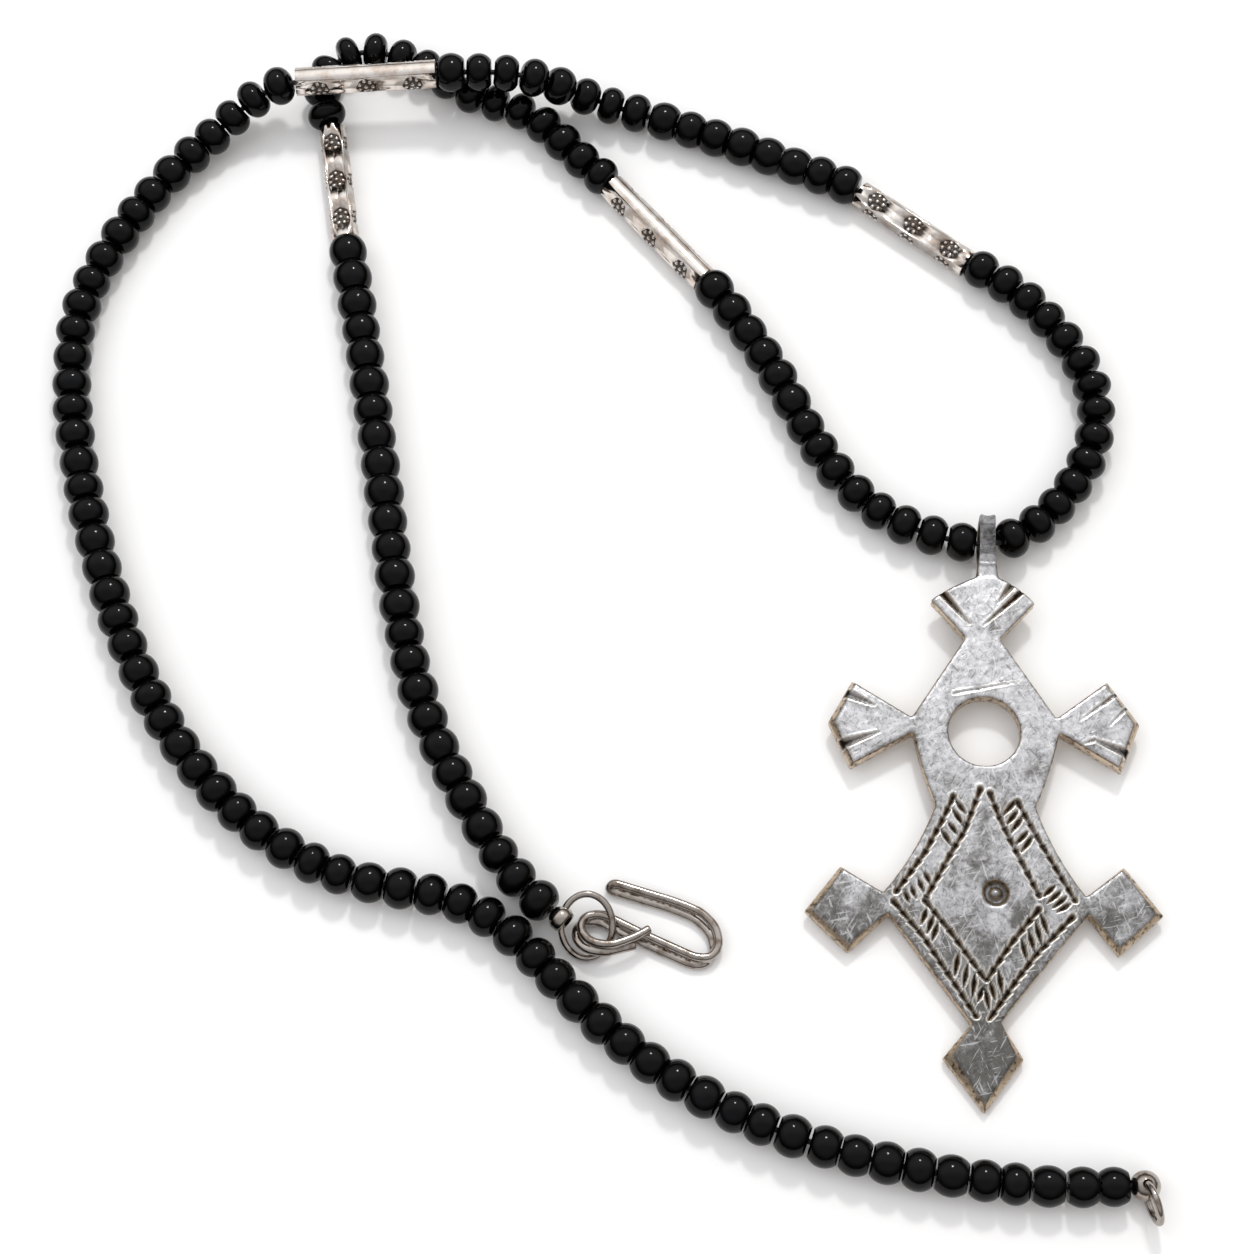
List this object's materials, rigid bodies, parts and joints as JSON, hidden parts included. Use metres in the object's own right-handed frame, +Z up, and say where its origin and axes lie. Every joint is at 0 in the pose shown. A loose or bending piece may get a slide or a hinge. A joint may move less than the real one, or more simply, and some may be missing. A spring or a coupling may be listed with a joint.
{
  "type": "tuareg cross pendant on a beaded necklace",
  "caption": "Cast silver cross pendant with chisel engraving, on a string of dark glass beads and stamped silver tubes, with a hook and ring clasp.",
  "frame": {"origin": "centre of the whole necklace's footprint on the surface that it lies on", "axes": "+Z up from the surface; +Y from the pendant's lower tip towards its bail, away from the viewer; +X to the viewer's right"},
  "size_m": [0.1612, 0.1869, 0.012],
  "materials": {
    "cast_silver": "worn, hand-hammered cast silver with dark oxide in the cuts",
    "stamped_silver": "polished sheet silver with stamped flowers",
    "clasp_metal": "polished wire",
    "dark_glass": "glossy black glass",
    "thread": "dark waxed thread"
  },
  "bodies": {
    "root": {"cross_pendant": "cast_silver", "thread": "thread", "hook_side_beads": "dark_glass", "ring_side_beads": "dark_glass", "tube_bead_1": "stamped_silver", "tube_bead_2": "stamped_silver", "tube_bead_3": "stamped_silver", "tube_bead_4": "stamped_silver", "end_cap": "clasp_metal", "jump_ring": "clasp_metal", "hook": "clasp_metal", "end_ball": "clasp_metal", "end_ring": "clasp_metal"}
  },
  "joints": []
}
